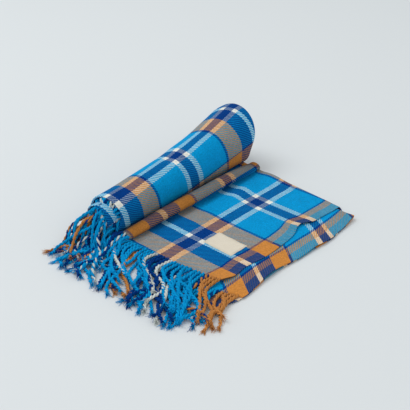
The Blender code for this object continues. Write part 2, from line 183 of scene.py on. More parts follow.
# Soft dents in the outer turn of the roll: angle, place along, spreads and depth
DENT_ROWS = (
    (323.0, -0.210, 25.0, 0.060, 0.0085),
    (323.0, -0.105, 25.0, 0.060, 0.0100),
    (323.0, 0.000, 26.0, 0.060, 0.0125),
    (323.0, 0.105, 26.0, 0.060, 0.0140),
    (322.0, 0.220, 27.0, 0.070, 0.0170),
    (165.0, 0.085, 26.0, 0.050, -0.0030),
    (168.0, -0.015, 26.0, 0.020, -0.0030),
    (190.0, 0.030, 16.0, 0.018, -0.0034),
    (184.0, -0.030, 12.0, 0.016, -0.0026),
    (208.0, 0.006, 12.0, 0.020, -0.0022),
    (215.0, -0.075, 22.0, 0.026, -0.0026),
    (235.0, 0.020, 30.0, 0.024, -0.0016),
    (196.0, -0.160, 20.0, 0.018, -0.0022),
    (228.0, 0.150, 16.0, 0.020, -0.0024),
    (200.0, 0.075, 24.0, 0.030, 0.0014),
    (262.0, -0.130, 24.0, 0.040, -0.0012),
    (255.0, 0.105, 22.0, 0.026, -0.0020),
    (285.0, 0.060, 20.0, 0.050, 0.0014),
    (120.0, -0.040, 30.0, 0.060, -0.0018),
    (95.0, 0.090, 30.0, 0.050, -0.0020),
    (60.0, -0.130, 26.0, 0.050, -0.0014),
)

# Plaid. Stripe widths count from the middle white stripe outwards and mirror about the wide
# blue one. The first selvedge cuts the orange stripe.
STRIPE_ROWS = (
    ("orange", 0.0456),
    ("navy", 0.0057),
    ("blue", 0.0812),
    ("white", 0.01235),
    ("navy", 0.0266),
    ("white", 0.01235),
    ("blue", 0.0812),
    ("navy", 0.0057),
    ("orange", 0.0456),
    ("navy", 0.0394),
    ("white", 0.01235),
    ("navy", 0.0394),
)
PLAID_REPEAT = sum(wide for name, wide in STRIPE_ROWS)
FIRST_CUT = 0.0076
WEFT_START = 0.2935
YARN_COLOURS = {
    "blue": (0.002, 0.300, 0.640),
    "navy": (0.001, 0.040, 0.215),
    "orange": (0.600, 0.240, 0.050),
    "white": (0.800, 0.800, 0.730),
}
YARN_COVER = {"blue": 0.46, "navy": 1.0, "orange": 0.76, "white": 0.23}
STRAND_COLOURS = {**YARN_COLOURS, "white": (0.62, 0.66, 0.62), "orange": (0.52, 0.22, 0.06)}
YARN_PITCH = 0.0017
TWILL_COUNT = 4.0
SELVEDGE_BAND = 0.021
# Painted shade: the ridge's colour is darkened by up to this share, standing in for the roll's
# shadow.
PAINTED_RIDGE_SHADE = 0.34
STEP_WEFT_SHIFT = 0.102
INNER_TURNS_WARP = 0.130

# Strands coloured by a stripe some way off: path from, path to, and how far
STRAND_WARP_ROWS = ((0.79, 1.02, -0.170), (3.50, 3.80, -0.075))

# Places of the plaid on each layer: where the selvedge line lies at the near and far ends
PATTERN_NEAR = np.array((0.207, 0.207, 0.214, 0.170))
PATTERN_FAR = np.array((0.170, 0.218, 0.218, 0.170))
TOP_WEFT_PLACE = 0.190
ROLL_WEFT_PLACE = 0.838
CONE_APEX = 0.90
CONE_SLOPE = 0.061
ROLL_WARP_START = 0.385
ROLL_WARP_SKEW = -0.15
ROLL_TOP_TIGHT = -0.012
INNER_TURNS_OUT = 0.016

# Fringe strands
STRAND_PITCH = 0.0097
STRAND_LONG = 0.182
RIGHT_STRAND_LONG = 0.120
ROLL_STRAND_LONG = 0.145
TUCKED_LONG = 0.032
NEAREST_Y = -0.366
FARTHEST_X = 0.250
SLACK = 0.030
STRAND_STEP = 0.0042
PLY_RADIUS = 0.0023
PLY_OFFSET = 0.0017
TWIST_PITCH = 0.0190
PLY_SIDES = 6
FRAY_LONG = 0.021
FRAY_FIBRES = 17
FRAY_RADIUS = 0.00062
BUNCH_PITCH = 0.058
BUNCH_PULL = 0.50

# Drift of the strand tips on the floor towards +X, by the place of the root
DRIFT_COLUMNS = ("root_x", "drift")
DRIFT_ROWS = (
    (-0.150, 0.030),
    (-0.100, 0.048),
    (-0.060, 0.066),
    (-0.020, 0.078),
    (0.030, 0.074),
    (0.070, 0.088),
    (0.110, 0.080),
    (0.150, 0.074),
    (0.220, 0.040),
)

# Label
LABEL_CENTRE = (0.0775, -0.0945)
LABEL_SIZE = (0.077, 0.050)
LABEL_THICK = 0.0008
LABEL_TURN = math.radians(-1.5)

# Camera and light
CAMERA_PLACE = (0.9293, -1.0962, 0.855)
CAMERA_FORWARD = (-0.582, 0.6427, -0.498)
CAMERA_LENS = 66.73


def column(rows, names, name):
    return np.array([row[names.index(name)] for row in rows])


def smooth(rows, names, name, at):
    """A table's column at places in its first column, on a smooth line through its rows."""
    knots = column(rows, names, names[0])
    values = column(rows, names, name)
    slopes = np.gradient(values, knots)
    at = np.clip(at, knots[0], knots[-1])
    row = np.clip(np.searchsorted(knots, at, side="right") - 1, 0, len(knots) - 2)
    wide = knots[row + 1] - knots[row]
    t = (at - knots[row]) / wide
    start = (1 + 2 * t) * (1 - t) ** 2 * values[row] + t * (1 - t) ** 2 * wide * slopes[row]
    end = t * t * (3 - 2 * t) * values[row + 1] + t * t * (t - 1) * wide * slopes[row + 1]
    return start + end


def ease(share):
    share = np.clip(share, 0.0, 1.0)
    return share * share * (3.0 - 2.0 * share)


def layered(rows, names, chosen, layers, at):
    """The value of the column that each layer reads."""
    return np.choose(layers, [smooth(rows, names, name, at) for name in chosen])


def selvedge_x(layers, y):
    return layered(SELVEDGE_ROWS, SELVEDGE_COLUMNS, SELVEDGE_OF_LAYER, layers, y)


def lift_of(layers, x, y):
    """How far a layer stands off its even level at a place on the flat part."""
    rise = np.zeros(np.shape(x))
    for row in LIFT_ROWS:
        far = ((x - row[0]) / row[2]) ** 2 + ((y - row[1]) / row[3]) ** 2
        rise = rise + np.array((0.0, *row[4:]))[layers] * np.exp(-far)
    for at_x, at_y, turn, long, wide, height in RIPPLE_ROWS:
        along_x, along_y = math.cos(math.radians(turn)), math.sin(math.radians(turn))
        along = (x - at_x) * along_x + (y - at_y) * along_y
        across = (y - at_y) * along_x - (x - at_x) * along_y
        hump = np.exp(-((along / long) ** 2) - (across / wide) ** 2)
        rise = rise + np.where(layers == 3, height, 0.0) * hump
    return rise


def roll_step(paths, y):
    """The step from one layer's level to the next, wider where the roll is loose."""
    loft = smooth(ROLL_ROWS, ROLL_COLUMNS, "loft", y)
    tight = smooth(ROLL_ROWS, ROLL_COLUMNS, "inner_pitch", y) / 4.5
    rolled = 1.0 + (loft - 1.0) * ease((paths - 0.86) / 0.14)
    inside = ease((paths - 1.9) / 0.3)
    return LAYER_STEP * rolled * (1 - inside) + tight * inside


def level_of(layers, paths, y):
    """Height of a layer's middle over the underside, measured square to the path."""
    near = smooth(EDGE_ROWS, EDGE_COLUMNS, "near_fold", paths)
    far = smooth(EDGE_ROWS, EDGE_COLUMNS, "outer_fold", paths)
    rolled = ease((paths - 0.86) / 0.14)
    near_share = (1.0 - ease((y - near) / PUFF_LENGTH)) * (1.0 - rolled)
    far_share = (1.0 - ease((far - y) / PUFF_LENGTH)) * (1.0 - ease((paths - 1.9) / 0.3))
    level = CLOTH_THICK / 2 + layers * roll_step(paths, y)
    return level + near_share * NEAR_PUFF[layers] + far_share * FAR_PUFF[layers]


def roll_radius(turns, y):
    """Radius of the path's outer side after some turns from the floor line."""
    angle = 360.0 * (turns % 1.0)
    corner = smooth(ROLL_ROWS, ROLL_COLUMNS, "corner", y)
    corner = corner * smooth(CORNER_ROWS, CORNER_COLUMNS, "share", angle)
    radius = smooth(ROLL_ROWS, ROLL_COLUMNS, "radius", y) * (1.0 + corner)
    pitch = smooth(ROLL_ROWS, ROLL_COLUMNS, "pitch", y)
    inner = smooth(ROLL_ROWS, ROLL_COLUMNS, "inner_pitch", y)
    drop = ease((angle - DROP_FROM) / (DROP_TO - DROP_FROM))
    first = np.where(turns < 1.0, drop, 1.0)
    later = np.where(turns < 1.0, 0.0, np.floor(turns) - 1.0 + drop)
    dents = np.zeros(np.shape(radius))
    for at_angle, at_y, wide, long, depth in DENT_ROWS:
        far = ((360.0 * turns - at_angle) / wide) ** 2 + ((y - at_y) / long) ** 2
        dents = dents + depth * np.exp(-far)
    return radius + dents - pitch * first - inner * later


def flat_x(layers, paths, y):
    """The X of a place on the flat part."""
    edge = selvedge_x(layers, y)
    centre = smooth(ROLL_ROWS, ROLL_COLUMNS, "centre_x", y)
    x = edge + (COMMON_X - edge) * paths / COMMON_PATH
    x = np.where(paths < COMMON_PATH, x, WIDEST_X - paths * FLAT_LONG)
    last = (paths - LAST_PATH) / (1.0 - LAST_PATH)
    return np.where(paths > LAST_PATH, LAST_SHARED_X + (centre - LAST_SHARED_X) * last, x)


RIDGE_SHARES = np.linspace(0.0, 1.0, 401)
RIDGE_BASE = RIDGE_START + (RIDGE_STOP - RIDGE_START) * RIDGE_SHARES
RIDGE_X = smooth(RIDGE_ROWS, RIDGE_COLUMNS, "x", RIDGE_SHARES)
RIDGE_HEIGHT = smooth(RIDGE_ROWS, RIDGE_COLUMNS, "height", RIDGE_SHARES)
RIDGE_ARC = np.hypot(np.gradient(RIDGE_X), np.gradient(RIDGE_HEIGHT)).cumsum()
RIDGE_SPARE = RIDGE_ARC - RIDGE_ARC[0] + RIDGE_BASE - RIDGE_START


def ridge_share(x):
    """How far along the ridge's curve a place on the flat path lies."""
    return np.clip((x - RIDGE_START) / (RIDGE_STOP - RIDGE_START), 0.0, 1.0)


def ridge_frame(x, y):
    """Place and upward normal of the ridge's curve: x, height, and the normal's two parts."""
    share = ridge_share(x)
    size = smooth(RIDGE_SIZE_ROWS, RIDGE_SIZE_COLUMNS, "size", y)
    off = np.interp(share, RIDGE_SHARES, RIDGE_X - RIDGE_BASE)
    high = np.interp(share, RIDGE_SHARES, RIDGE_HEIGHT)
    base_step = RIDGE_BASE[1] - RIDGE_BASE[0]
    off_step = np.interp(share, RIDGE_SHARES, np.gradient(RIDGE_X - RIDGE_BASE))
    high_step = np.interp(share, RIDGE_SHARES, np.gradient(RIDGE_HEIGHT))
    across, up = base_step + size * off_step, size * high_step
    long = np.hypot(across, up)
    return x + size * off, size * high, up / long, -across / long


def spot(layers, paths, y, heights):
    """Points of the folded stack: along the path, along the rug and up from its underside."""
    flat_paths = np.minimum(paths, 1.0)
    x = flat_x(layers, flat_paths, y)
    top = level_of(np.full(np.shape(layers), 3), flat_paths, y)
    ridge_x, ridge_high, lean_x, lean_z = ridge_frame(x, y)
    on_ridge = (layers > 0) & (x < RIDGE_START) & (x > RIDGE_STOP)
    above = heights - top
    flat_to = np.where(on_ridge, ridge_x + lean_x * above, x)
    high_to = np.where(on_ridge, top + ridge_high + lean_z * above, heights)
    flat = np.stack((flat_to, y, high_to + lift_of(layers, x, y)), axis=-1)
    turns = np.maximum(paths - 1.0, 0.0)
    angle = 2.0 * math.pi * turns
    inner = roll_radius(turns, y) - heights
    centre = smooth(ROLL_ROWS, ROLL_COLUMNS, "centre_x", y)
    middle = roll_radius(np.zeros(np.shape(y)), y)
    rolled = (centre - inner * np.sin(angle), y, middle - inner * np.cos(angle))
    return np.where((paths <= 1.0)[..., None], flat, np.stack(rolled, axis=-1))


def cone_turn(paths):
    """Angle in the unrolled cone of the roll. It starts again at the foot of each turn."""
    share = np.maximum(paths - 1.0, 0.0) % 1.0
    share = np.where(share < 0.88, share, 0.88 * (1.0 - share) / 0.12)
    return CONE_SLOPE * 2.0 * math.pi * share


def warp_place(layers, paths, y):
    """How far each point of the cloth lies from the selvedge, across the warp stripes."""
    far_share = np.clip((y + 0.26) / 0.46, -0.1, 1.1)
    line = PATTERN_NEAR[layers] + (PATTERN_FAR - PATTERN_NEAR)[layers] * far_share
    lowest_line = PATTERN_NEAR[0] + (PATTERN_FAR - PATTERN_NEAR)[0] * far_share
    edge = selvedge_x(layers, y)
    x = flat_x(layers, np.minimum(paths, 1.0), y)
    inside = edge - x
    flat = inside + (line - edge) * (1.0 - np.exp(-((inside / 0.05) ** 2)))
    centre = smooth(ROLL_ROWS, ROLL_COLUMNS, "centre_x", y)
    start = ROLL_WARP_START + ROLL_WARP_SKEW * y - (lowest_line - centre)
    spare = np.interp(ridge_share(x), RIDGE_SHARES, RIDGE_SPARE / RIDGE_SPARE[-1])
    joined = np.where(layers == 3, spare, ease((paths - 0.4) / 0.6))
    turns = np.clip(paths - 1.0, 0.0, 1.0)
    around = (y + CONE_APEX) * np.sin(CONE_SLOPE * 2.0 * math.pi * turns)
    tight = ROLL_TOP_TIGHT * (1.0 - ease((360.0 * turns - 172.0) / 34.0)) * ease(turns / 0.4)
    radius = smooth(ROLL_ROWS, ROLL_COLUMNS, "radius", y)
    pitch = smooth(ROLL_ROWS, ROLL_COLUMNS, "pitch", y)
    inside_turns = 2.0 * math.pi * (radius - 1.4 * pitch) * np.maximum(paths - 2.0, 0.0)
    inside_turns = inside_turns + INNER_TURNS_WARP * ease((paths - 1.9) / 0.2)
    return flat + start * joined + around + tight + inside_turns


def ridge_shade_painted(layers, paths, y):
    """Painted shade on the ridge beside the roll: how much darker its colour is made, standing in
    for the roll's shadow.
    """
    share = ridge_share(flat_x(layers, np.minimum(paths, 1.0), y))
    on_ridge = ease(share / 0.25) * (1.0 - ease((share - 0.70) / 0.30))
    return PAINTED_RIDGE_SHADE * np.where((layers > 0) & (paths < 1.0), on_ridge, 0.0)


def weft_anchor(paths):
    """The cloth's place along its length at the outer fold."""
    fold = smooth(EDGE_ROWS, EDGE_COLUMNS, "outer_fold", paths)
    flat = fold + TOP_WEFT_PLACE
    turn = np.cos(cone_turn(paths))
    pushed = fold + INNER_TURNS_OUT * ease((paths - 1.85) / 0.35)
    rolled = ROLL_WEFT_PLACE - ((pushed + CONE_APEX) * turn - CONE_APEX + TOP_WEFT_PLACE)
    return flat + (rolled - flat) * ease((paths - 0.92) / 0.23)


def spread(start, stop, count, crowd=0.0):
    """Shares from start to stop, closer together at both ends."""
    even = np.linspace(0.0, 1.0, count)
    shares = even * (1.0 - crowd) + crowd * ease(even)
    return start + (stop - start) * shares


LAYER_STATIONS = (62, 16, 18, 78)
FOLD_ANGLES = np.radians((70, 47, 23, 0, -23, -47, -70))
RIM_SHARES = np.array((0.0, 0.004, 0.010))


def fold_rows(path):
    """Middle line of the cloth over one section, from the under fringe to the top one.

    Arrays of y, the layer left, the layer entered, the level, and the left side's angle.
    """
    ends = {
        name: float(smooth(EDGE_ROWS, EDGE_COLUMNS, name, np.array(path)))
        for name in EDGE_COLUMNS[1:]
    }
    parts = []

    def run(layer, start, stop, turn):
        y = spread(start, stop, LAYER_STATIONS[layer], 0.5)
        layers = np.full(len(y), layer)
        level = level_of(layers, np.full(len(y), path), y)
        parts.append((y, layers, layers, level, np.full(len(y), turn)))

    def fold(first, second, y, side, turns):
        at = np.array([y, y])
        low, high = level_of(np.array([first, second]), np.full(2, path), at)
        half = 0.5 * abs(low - high)
        count = len(turns)
        parts.append(
            (
                y + side * half * np.cos(turns),
                np.full(count, first),
                np.full(count, second),
                0.5 * (low + high) + side * half * np.sin(turns),
                turns,
            )
        )

    inner = ends["inner_fold"] - 0.0015
    near = ends["near_fold"] + 0.0020
    outer = ends["outer_fold"] - 0.0050
    up = math.pi / 2
    run(2, ends["fringe_under"], inner, up)
    fold(2, 1, inner, 1.0, FOLD_ANGLES)
    run(1, inner, near, -up)
    fold(1, 0, near, -1.0, FOLD_ANGLES[::-1])
    run(0, near, outer, up)
    fold(0, 3, outer, -1.0, FOLD_ANGLES[::-1] + math.pi)
    run(3, outer, ends["fringe_top"], 3 * up)
    return [np.concatenate(column_parts) for column_parts in zip(*parts)]


def path_stations():
    """Places along the path for the cloth's sections, finer where the cloth shows."""
    before = (WIDEST_X - RIDGE_START) / FLAT_LONG
    behind = (WIDEST_X - RIDGE_STOP) / FLAT_LONG
    flat = [np.array((0.0, 0.0025, 0.006)), np.linspace(0.015, before, 46)]
    flat += [np.linspace(before, behind, 46)[1:], np.linspace(behind, 1.0, 7)[1:]]
    turns = [np.linspace(0.0, 1.0, 68)[1:], np.linspace(1.0, 2.0, 38)[1:]]
    turns += [np.linspace(2.0, 3.0, 26)[1:], np.linspace(3.0, ROLL_TURNS, 14)[1:]]
    return np.concatenate((*flat, 1.0 + np.concatenate(turns)))


def stacked(layers_from, layers_to, paths, y, levels):
    """Points of the cloth, between two layers' places where it bends from one to the other."""
    low = np.minimum(layers_from, layers_to)
    high = np.maximum(layers_from, layers_to)
    low_level, high_level = level_of(low, paths, y), level_of(high, paths, y)
    gap = np.maximum(high_level - low_level, 1e-6)
    share = np.where(low == high, 0.0, np.clip((levels - low_level) / gap, 0.0, 1.0))
    from_low, from_high = spot(low, paths, y, levels), spot(high, paths, y, levels)
    return from_low + (from_high - from_low) * share[..., None], low, high, share


def mesh_piece(name, points, faces, material, smooth_faces=True):
    """A mesh object that rides on the part's one body."""
    faces = np.asarray(faces, np.int32)
    corners = faces.shape[1]
    mesh = bpy.data.meshes.new(name)
    mesh.vertices.add(len(points))
    mesh.vertices.foreach_set("co", np.asarray(points, np.float32).ravel())
    mesh.loops.add(faces.size)
    mesh.loops.foreach_set("vertex_index", faces.ravel())
    mesh.polygons.add(len(faces))
    mesh.polygons.foreach_set("loop_start", np.arange(0, faces.size, corners, dtype=np.int32))
    mesh.update(calc_edges=True)
    mesh.validate()
    mesh.polygons.foreach_set("use_smooth", np.full(len(mesh.polygons), smooth_faces))
    mesh.materials.append(material)
    thing = bpy.data.objects.new(name, mesh)
    bpy.context.scene.collection.objects.link(thing)
    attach(thing, "root")
    return thing


def point_values(thing, name, values):
    """Keeps three numbers at each point of a mesh, for its material to read."""
    attribute = thing.data.attributes.new(name, "FLOAT_VECTOR", "POINT")
    attribute.data.foreach_set("vector", np.asarray(values, np.float32).ravel())


def ring_faces(rows, count):
    """Quads round a tube of rows with this count of points each."""
    at = np.arange(count)
    after = (at + 1) % count
    first = (np.arange(rows - 1) * count)[:, None]
    quads = np.stack(
        (first + at, first + after, first + count + after, first + count + at), axis=-1
    )
    return quads.reshape(-1, 4)


def cloth_piece(material):
    """The whole rug: one thin sheet, folded in four and rolled."""
    rows, places = [], []
    for path in path_stations():
        y, first, second, level, turn = fold_rows(path)
        paths = np.full(len(y), path)
        thin = np.ones(len(y))
        for at, share in enumerate((0.45, 0.85)):
            thin[at] = share
            thin[-1 - at] = share
        thin = thin * np.interp(path, (0.0, 0.0025, 0.006), (0.45, 0.85, 1.0))
        ring = []
        for side in (1.0, -1.0):
            off = side * thin * CLOTH_THICK / 2
            at_y, at_level = y + off * np.cos(turn), level + off * np.sin(turn)
            points, low, high, share = stacked(first, second, paths, at_y, at_level)
            ring.append(points)
        rows.append(np.concatenate((ring[0], ring[1][::-1])))
        low_w, high_w = warp_place(low, paths, y), warp_place(high, paths, y)
        across = low_w + (high_w - low_w) * share
        steps = np.hypot(np.diff(y), np.diff(level))
        along = np.concatenate(([0.0], np.cumsum(steps)))
        middle = np.mean(along[(first == 0) & (second == 3)])
        turned = np.cos(cone_turn(np.array(path)))
        step_shift = STEP_WEFT_SHIFT * ease((middle - along - 0.48) / 0.38)
        place = weft_anchor(np.array(path)) + (middle - along) * turned + step_shift
        # The third number is the ridge's painted shade.
        both = np.stack((across, place, ridge_shade_painted(high, paths, y)), axis=-1)
        places.append(np.concatenate((both, both[::-1])))
    count = len(rows[0])
    faces = ring_faces(len(rows), count)
    half = count // 2
    at = np.arange(half - 1)
    ends = []
    for start, flip in ((0, 1), ((len(rows) - 1) * count, -1)):
        quad = np.stack((at, count - 1 - at, count - 2 - at, at + 1), axis=-1) + start
        ends.append(quad[:, ::flip])
    faces = np.concatenate((faces, *ends))
    thing = mesh_piece("rug_cloth", np.concatenate(rows), faces, material)
    point_values(thing, "cloth_place", np.concatenate(places))
    return thing


class Shaded:
    """A number that changes over a surface. Arithmetic on it adds Math nodes."""

    def __init__(self, nodes, socket):
        self.nodes = nodes
        self.socket = socket

    def math(self, operation, *others):
        values = {at: other for at, other in enumerate((self, *others))}
        node = self.nodes.add("ShaderNodeMath", {"operation": operation}, values)
        return Shaded(self.nodes, node.outputs[0])

    def __add__(self, other):
        return self.math("ADD", other)

    __radd__ = __add__

    def __mul__(self, other):
        return self.math("MULTIPLY", other)

    __rmul__ = __mul__

    def __sub__(self, other):
        return self.math("SUBTRACT", other)

    def __rsub__(self, other):
        return self.math("MULTIPLY", -1.0).math("ADD", other)

    def __truediv__(self, other):
        return self.math("DIVIDE", other)

    def __mod__(self, other):
        return self.math("FLOORED_MODULO", other)

    def __gt__(self, other):
        return self.math("GREATER_THAN", other)

    def __lt__(self, other):
        return self.math("LESS_THAN", other)


class Nodes:
    """A new material's nodes and its surface shader."""

    def __init__(self, name):
        self.material = bpy.data.materials.new(name)
        self.material.use_nodes = True
        self.tree = self.material.node_tree
        self.surface = self.tree.nodes["Principled BSDF"]

    def add(self, kind, settings, inputs):
        """A node of one kind, with its settings and the values or links of its sockets."""
        node = self.tree.nodes.new(kind)
        for name, value in settings.items():
            setattr(node, name, value)
        for name, value in inputs.items():
            self.feed(node.inputs[name], value)
        return node

    def feed(self, socket, value):
        if isinstance(value, Shaded):
            self.tree.links.new(value.socket, socket)
        else:
            socket.default_value = value

    def fixed(self, **values):
        """Values that are the same all over the surface."""
        for name, value in values.items():
            self.surface.inputs[name.replace("_", " ")].default_value = value

    def reach(self, name, value):
        self.feed(self.surface.inputs[name], value)

    def place(self, attribute):
        """The three numbers kept at a mesh's points."""
        node = self.add("ShaderNodeAttribute", {"attribute_name": attribute}, {})
        split = self.add(
            "ShaderNodeSeparateXYZ", {}, {0: Shaded(self, node.outputs["Vector"])}
        )
        return [Shaded(self, split.outputs[at]) for at in range(3)]

    def joined(self, x, y, z):
        node = self.add("ShaderNodeCombineXYZ", {}, {0: x, 1: y, 2: z})
        return Shaded(self, node.outputs[0])

    def object_place(self):
        node = self.add("ShaderNodeTexCoord", {}, {})
        return Shaded(self, node.outputs["Object"])

    def noise(self, vector, scale, detail=2.0, rough=0.5):
        inputs = {"Vector": vector, "Scale": scale, "Detail": detail, "Roughness": rough}
        node = self.add("ShaderNodeTexNoise", {}, inputs)
        return Shaded(self, node.outputs["Fac"])

    def ramp(self, value, stops, style="LINEAR"):
        """A colour ramp's colour and alpha. Stops are (place, colour with alpha) pairs."""
        node = self.add("ShaderNodeValToRGB", {}, {0: value})
        node.color_ramp.interpolation = style
        elements = node.color_ramp.elements
        while len(elements) < len(stops):
            elements.new(1.0)
        for element, (place, colour) in zip(elements, stops):
            element.position = place
            element.color = colour
        return Shaded(self, node.outputs["Color"]), Shaded(self, node.outputs["Alpha"])

    def mixed(self, first, second, share, style="MIX"):
        """One colour turned into another by a share."""
        settings = {"data_type": "RGBA", "blend_type": style}
        inputs = {"Factor": share}
        node = self.add("ShaderNodeMix", settings, inputs)
        for at, value in ((6, first), (7, second)):
            if not isinstance(value, Shaded):
                value = (*value, 1.0)
            self.feed(node.inputs[at], value)
        return Shaded(self, node.outputs[2])

    def darkened(self, colour, share):
        """A colour times a number that changes over the surface."""
        return self.mixed(colour, self.joined(share, share, share), 1.0, "MULTIPLY")

    def bump(self, height, distance, strength=1.0):
        inputs = {"Height": height, "Distance": distance, "Strength": strength}
        node = self.add("ShaderNodeBump", {}, inputs)
        self.reach("Normal", Shaded(self, node.outputs[0]))


def stripe_stops():
    """Ramp stops of one repeat of the plaid, as square roots, so that yarns mix as seen."""
    stops, at = [], 0.0
    for name, wide in STRIPE_ROWS:
        rooted = [part**0.5 for part in YARN_COLOURS[name]]
        stops.append((at / PLAID_REPEAT, (*rooted, YARN_COVER[name])))
        at += wide
    return stops


def wool(nodes):
    """What all the wool here shares: a dry, fuzzy finish."""
    nodes.fixed(
        Roughness=0.95,
        Specular_IOR_Level=0.04,
        Sheen_Weight=0.11,
        Sheen_Roughness=0.3,
        Sheen_Tint=(0.12, 0.68, 1.0, 1.0),
    )


def plaid_wool():
    """Brushed wool in a two-and-two twill plaid."""
    nodes = Nodes("plaid_wool_twill")
    # The third number kept at the points is the ridge's painted shade.
    across, along, painted_shade = nodes.place("cloth_place")
    warp_count = (across / YARN_PITCH).math("FLOOR")
    weft_count = (along / YARN_PITCH).math("FLOOR")
    warp_spot = (warp_count + 0.5) * YARN_PITCH
    weft_spot = (weft_count + 0.5) * YARN_PITCH
    stops = stripe_stops()
    warp_share = ((warp_spot + FIRST_CUT) % PLAID_REPEAT) / PLAID_REPEAT
    weft_share = ((weft_spot + WEFT_START) % PLAID_REPEAT) / PLAID_REPEAT
    warp_colour, warp_cover = nodes.ramp(warp_share, stops, "CONSTANT")
    weft_colour, weft_cover = nodes.ramp(weft_share, stops, "CONSTANT")
    phase = (warp_count + weft_count) % TWILL_COUNT
    band = across < SELVEDGE_BAND
    warp_up = phase < (1.5 - band)
    nap = (warp_up * 0.66 + 0.17) * (1.0 - band * 0.45)
    warp_shown = nap * warp_cover
    weft_shown = (1.0 - nap) * weft_cover
    rooted = nodes.mixed(weft_colour, warp_colour, warp_shown / (warp_shown + weft_shown))
    weave = nodes.mixed(rooted, rooted, 1.0, "MULTIPLY")

    # Crown: each yarn's colour is darker towards its edges, a painted shade between the yarns. The
    # crown also feeds the bump.
    warp_round = ((across / YARN_PITCH) * (2.0 * math.pi)).math("COSINE") * -0.5 + 0.5
    weft_round = ((along / YARN_PITCH) * (2.0 * math.pi)).math("COSINE") * -0.5 + 0.5
    crown = warp_round * warp_up + weft_round * (1.0 - warp_up)
    place = nodes.object_place()
    fuzz = nodes.noise(place, 300.0, 4.0, 0.75)
    cloud = nodes.noise(place, 34.0, 3.0, 0.55)
    shade = (crown * 0.16 + 0.92) * (fuzz * 1.30 + 0.35) * (cloud * 0.24 + 0.88)
    # The colour is darkened by the ridge's painted shade.
    nodes.reach("Base Color", nodes.darkened(weave, shade * (1.0 - painted_shade)))
    wool(nodes)
    nodes.bump(crown * 0.6 + fuzz * 0.8, 0.0007, 0.55)
    return nodes.material


def stripe_at(place):
    """Name of the warp stripe at a place across the cloth."""
    at = (place + FIRST_CUT) % PLAID_REPEAT
    for name, wide in STRIPE_ROWS:
        if at < wide:
            return name
        at -= wide
    return STRIPE_ROWS[0][0]


def fringe_yarn(name):
    """Twisted wool yarn in the colour kept at its points."""
    nodes = Nodes(name)
    colour = nodes.add("ShaderNodeAttribute", {"attribute_name": "yarn_colour"}, {})
    colour = Shaded(nodes, colour.outputs["Color"])
    along, around, spare = nodes.place("yarn_place")
    place = nodes.object_place()
    fuzz = nodes.noise(place, 900.0, 3.0, 0.6)
    strands = (around * 5.0 + along * 2600.0).math("SINE") * 0.5 + 0.5
    shade = (strands * 0.20 + 0.84) * (fuzz * 0.50 + 0.75)
    nodes.reach("Base Color", nodes.darkened(colour, shade))
    wool(nodes)
    nodes.bump(strands * 0.6 + fuzz * 0.7, 0.0006, 0.6)
    return nodes.material


def unit(vectors):
    return vectors / np.maximum(np.linalg.norm(vectors, axis=-1, keepdims=True), 1e-9)


def frames_along(line, up):
    """Directions along, across and up at each point of a line."""
    along = unit(np.gradient(line, axis=0))
    across = unit(np.cross(along, up))
    return along, across, np.cross(across, along)


def strand_up(line):
    """A steady up direction for a strand that is mostly level."""
    steep = np.abs(unit(np.gradient(line, axis=0))[:, 2:3])
    return unit(np.array((0.0, 0.0, 1.0)) * (1.0 - steep) + np.array((0.0, -1.0, 0.3)) * steep)


class Yarns:
    """Gathers tubes of yarn into one mesh."""

    def __init__(self):
        self.points, self.faces, self.colours, self.places = [], [], [], []
        self.count = 0

    def tube(self, line, radii, colours, sides, twist=None):
        """A closed tube along a line."""
        along, across, up = frames_along(line, strand_up(line))
        turn = np.arange(sides) * 2.0 * math.pi / sides
        ring = across[:, None] * np.cos(turn)[:, None] + up[:, None] * np.sin(turn)[:, None]
        points = line[:, None] + ring * radii[:, None, None]
        points[..., 2] = np.maximum(points[..., 2], 0.0001)
        rows = len(line)
        self.points.append(points.reshape(-1, 3))
        faces = ring_faces(rows, sides) + self.count
        self.faces.append(faces)
        self.cap(0, sides, True)
        self.cap((rows - 1) * sides, sides, False)
        far = np.concatenate(([0.0], np.cumsum(np.linalg.norm(np.diff(line, axis=0), axis=1))))
        place = np.zeros((rows, sides, 3))
        place[..., 0] = far[:, None]
        place[..., 1] = turn
        self.places.append(place.reshape(-1, 3))
        self.colours.append(np.repeat(colours, sides, axis=0))
        self.count += rows * sides

    def cap(self, start, sides, flip):
        """Closes a tube's end with quads across it."""
        for at in range(sides // 2 - 1):
            quad = [at, at + 1, sides - 2 - at, sides - 1 - at]
            quad = quad[::-1] if flip else quad
            self.faces.append(np.array([quad]) + start + self.count)

    def piece(self, name, material):
        thing = mesh_piece(
            name, np.concatenate(self.points), np.concatenate(self.faces), material
        )
        point_values(thing, "yarn_place", np.concatenate(self.places))
        colours = np.concatenate(self.colours)
        attribute = thing.data.attributes.new("yarn_colour", "FLOAT_COLOR", "POINT")
        whole = np.concatenate((colours, np.ones((len(colours), 1))), axis=1)
        attribute.data.foreach_set("color", whole.astype(np.float32).ravel())
        return thing


def root_paths(layer, end_name, start_share):
    """Path places of a fringe's roots, evenly apart along the cloth's end."""
    paths = np.linspace(0.003, 1.0 + ROLL_TURNS - 0.05, 4000)
    ends = smooth(EDGE_ROWS, EDGE_COLUMNS, end_name, paths)
    layers = np.full(len(paths), layer)
    line = spot(layers, paths, ends, level_of(layers, paths, ends))
    flat = line * (1.0, 0.3, 1.0)
    far = np.concatenate(([0.0], np.cumsum(np.linalg.norm(np.diff(flat, axis=0), axis=1))))
    places = np.arange(STRAND_PITCH * start_share + 0.003, far[-1], STRAND_PITCH)
    return np.interp(places, far, paths)


